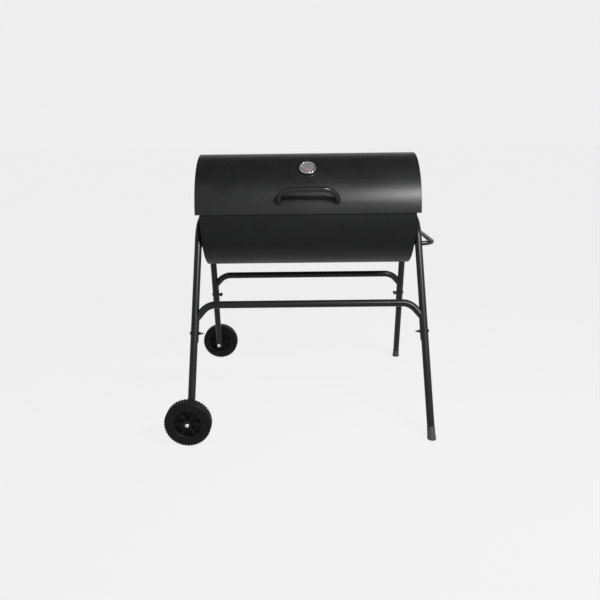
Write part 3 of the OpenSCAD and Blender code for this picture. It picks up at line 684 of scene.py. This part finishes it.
def grate_welds(node, kind):
    """Weld nuggets where the top wires of a grate cross its rods"""
    grate = GRATES[kind]
    low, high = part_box(node)
    across = high.y - low.y - grate["rod"]
    left = low.x + grate["wire"]
    right = high.x - grate["wire"]
    level = high.z - grate["wire"] + WELD_LIFT
    radius = sizes().weld_radius
    name = node + "_welds"
    mesh = grown("beads", name, slot_finish(SLOT_OF[node]),
                 Matrix.Translation(((left + right) / 2, 0, level)),
                 Columns=grate["wires"], Rows=grate["rods"], Length=right - left, Width=across,
                 Bead=(radius * WELD_LENGTHEN, radius, radius * WELD_FLATTEN))
    new_piece(name, mesh, BODY_OF[node], SLOT_OF[node])


def rail_spots(node, inward):
    """A row of spot welds along a rail; inward is the way from its sheet into the firebox"""
    low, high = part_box(node)
    wall = (low.y if inward > 0 else high.y) + inward * RAIL_SHEET
    middle = Vector(((low.x + high.x) / 2, wall, low.z + SPOT_HEIGHT))
    radius = sizes().spot_radius
    mesh = grown("beads", node + "_spots", slot_finish("rail_steel"), Matrix.Translation(middle),
                 Columns=sizes().spot_count, Rows=1, Length=high.x - low.x - 2 * SPOT_MARGIN,
                 Width=0.0, Bead=(radius, SPOT_PROUD, radius))
    new_piece(node + "_spot_welds", mesh, "stand", "rail_steel")


class GRILL_OT_grates(bpy.types.Operator):
    """Finish the grates with their welds, and the rails with their spot welds"""

    bl_idname = "grill.grates"
    bl_label = "Grates and rails"

    def execute(self, context):
        for kind in GRATES:
            for end in ("left", "right"):
                node = f"{kind}_grate_{end}"
                finish_node(node, 0.0)
                grate_welds(node, kind)
        for face, inward in (("front", 1), ("rear", -1)):
            node = "grate_rail_" + face
            finish_node(node, sizes().sheet_edge)
            rail_spots(node, inward)
        return {"FINISHED"}


class GRILL_OT_dampers(bpy.types.Operator):
    """Finish the air dampers"""

    bl_idname = "grill.dampers"
    bl_label = "Air dampers"

    def execute(self, context):
        finish_nodes(["air_damper_left", "air_damper_right"], sizes().sheet_edge)
        return {"FINISHED"}


class GRILL_OT_stand(bpy.types.Operator):
    """Finish the arches, the legs and the crossbars"""

    bl_idname = "grill.stand"
    bl_label = "Stand"

    def execute(self, context):
        finish_nodes(["side_arch_left", "side_arch_right", "leg_front_left", "leg_rear_left",
                      "leg_front_right", "leg_rear_right", "crossbar_front", "crossbar_rear"],
                     sizes().sheet_edge)
        return {"FINISHED"}


class GRILL_OT_fasteners(bpy.types.Operator):
    """Finish the screws, bolts, rivets, nuts and washers"""

    bl_idname = "grill.fasteners"
    bl_label = "Fasteners"

    def execute(self, context):
        finish_nodes(["lid_handle_screws", "hinge_lid_rivets", "hinge_box_rivets", "damper_rivets",
                      "arch_bolts", "arch_washers", "arch_nuts", "leg_joint_screws",
                      "crossbar_bolts", "crossbar_wing_nuts", "axle_bolts", "axle_spacers",
                      "axle_saddles", "axle_nuts", "side_handle_bolts"], sizes().small_edge)
        return {"FINISHED"}


class GRILL_OT_wheels(bpy.types.Operator):
    """Finish the wheels and the foot caps"""

    bl_idname = "grill.wheels"
    bl_label = "Wheels and feet"

    def execute(self, context):
        finish_nodes(["wheel_front", "wheel_rear", "foot_cap_front", "foot_cap_rear"],
                     sizes().moulded_edge)
        return {"FINISHED"}


def soft_light(name, place, target, size, power):
    """A rectangular lamp at a place, facing a target"""
    lamp = bpy.data.lights.new(name, "AREA")
    lamp.shape = "RECTANGLE"
    lamp.size, lamp.size_y = size
    lamp.energy = power
    holder = bpy.data.objects.new(name, lamp)
    holder.location = place
    holder.rotation_euler = (Vector(target) - Vector(place)).to_track_quat("-Z", "Y").to_euler()
    bpy.context.scene.collection.objects.link(holder)


# The floor lies a little under the feet, so that the two don't share a plane
FLOOR_RADIUS, FLOOR_SIDES, FLOOR_DROP = 60.0, 96, 0.5 * MM
FLOOR_GLOW = 0.84
PALE, DIM = (0.86, 0.86, 0.86), (0.07, 0.07, 0.07)
# Heights of the view direction between which the studio turns from pale to dim
PALE_TOP, DIM_BOTTOM = 0.44, 0.6
LIT_POINT = (0.1, 0.0, 0.8)
CAMERA_PLACE = (-0.0022, -2.2379, 0.9715)
CAMERA_TURN, CAMERA_TILT, CAMERA_ROLL = 0.3, 75.1, -0.7
# Width of the camera's film and focal length of its lens, in millimetres
FILM_WIDTH, FOCAL_LENGTH = 36.0, 36.462


def lay_floor(scene):
    """A wide pale floor that gives off an even light"""
    form = bmesh.new()
    bmesh.ops.create_circle(form, cap_ends=True, radius=FLOOR_RADIUS, segments=FLOOR_SIDES,
                            matrix=Matrix.Translation((0, 0, -FLOOR_DROP)))
    mesh = bpy.data.meshes.new("floor")
    form.to_mesh(mesh)
    form.free()
    floor = bpy.data.objects.new("floor", mesh)
    scene.collection.objects.link(floor)
    paper, _, shader = blank_material("pale_paper")
    shader.inputs["Base Color"].default_value = (0.03, 0.03, 0.03, 1)
    shader.inputs["Emission Color"].default_value = (1, 1, 1, 1)
    shader.inputs["Emission Strength"].default_value = FLOOR_GLOW
    shader.inputs["Roughness"].default_value = 0.95
    shader.inputs["Specular IOR Level"].default_value = 0.0
    mesh.materials.append(paper)


def surround(scene):
    """A studio that is pale round the sides and dim overhead"""
    world = bpy.data.worlds.new("studio")
    world.use_nodes = True
    tree = world.node_tree
    parts = add(tree, "ShaderNodeSeparateXYZ")
    tree.links.new(add(tree, "ShaderNodeTexCoord").outputs["Generated"], parts.inputs[0])
    height = remap(tree, parts.outputs["Z"], PALE_TOP, DIM_BOTTOM, 0, 1)
    tree.links.new(blend_colour(tree, height, PALE, DIM), tree.nodes["Background"].inputs["Color"])
    scene.world = world
    scene.view_settings.view_transform = "Standard"


def set_camera(scene):
    """A camera in front of the grill, a little above the lid and tilted down"""
    lens = bpy.data.cameras.new("camera")
    lens.sensor_width = FILM_WIDTH
    lens.lens = FOCAL_LENGTH
    camera = bpy.data.objects.new("camera", lens)
    turn = (Matrix.Rotation(math.radians(CAMERA_TURN), 3, "Z")
            @ Matrix.Rotation(math.radians(CAMERA_TILT), 3, "X")
            @ Matrix.Rotation(math.radians(CAMERA_ROLL), 3, "Z"))
    camera.matrix_world = Matrix.Translation(CAMERA_PLACE) @ turn.to_4x4()
    scene.collection.objects.link(camera)
    scene.camera = camera


class GRILL_OT_stage(bpy.types.Operator):
    """Set the pale floor, the soft lights and the camera"""

    bl_idname = "grill.stage"
    bl_label = "Stage"

    def execute(self, context):
        lay_floor(context.scene)
        surround(context.scene)
        soft_light("key", (1.2, -1.85, 2.05), LIT_POINT, (1.1, 0.4), 120)
        soft_light("fill", (-1.6, -1.6, 2.6), LIT_POINT, (1.2, 0.8), 10)
        set_camera(context.scene)
        return {"FINISHED"}


class GRILL_PT_panel(bpy.types.Panel):
    """Lists the grill's pieces"""

    bl_idname = "GRILL_PT_panel"
    bl_label = "Barrel charcoal grill"
    bl_space_type = "VIEW_3D"
    bl_region_type = "UI"
    bl_category = "Grill"

    def draw(self, context):
        for settings in (context.scene.grill_sizes, context.scene.grill_colours):
            for key in settings.__annotations__:
                self.layout.prop(settings, key)
        for step in STEPS:
            self.layout.operator(step.bl_idname)


STEPS = (GRILL_OT_barrel, GRILL_OT_handles, GRILL_OT_thermometer, GRILL_OT_hinges, GRILL_OT_grates,
         GRILL_OT_dampers, GRILL_OT_stand, GRILL_OT_fasteners, GRILL_OT_wheels, GRILL_OT_stage)
CLASSES = (GrillSizes, GrillColours, *STEPS, GRILL_PT_panel)


def register():
    for cls in CLASSES:
        bpy.utils.register_class(cls)
    bpy.types.Scene.grill_sizes = bpy.props.PointerProperty(type=GrillSizes)
    bpy.types.Scene.grill_colours = bpy.props.PointerProperty(type=GrillColours)


def unregister():
    del bpy.types.Scene.grill_colours
    del bpy.types.Scene.grill_sizes
    for cls in reversed(CLASSES):
        bpy.utils.unregister_class(cls)


def main():
    register()
    bpy.ops.grill.barrel()
    bpy.ops.grill.handles()
    bpy.ops.grill.thermometer()
    bpy.ops.grill.hinges()
    bpy.ops.grill.grates()
    bpy.ops.grill.dampers()
    bpy.ops.grill.stand()
    bpy.ops.grill.fasteners()
    bpy.ops.grill.wheels()
    bpy.ops.grill.stage()


if __name__ == "__main__":
    main()
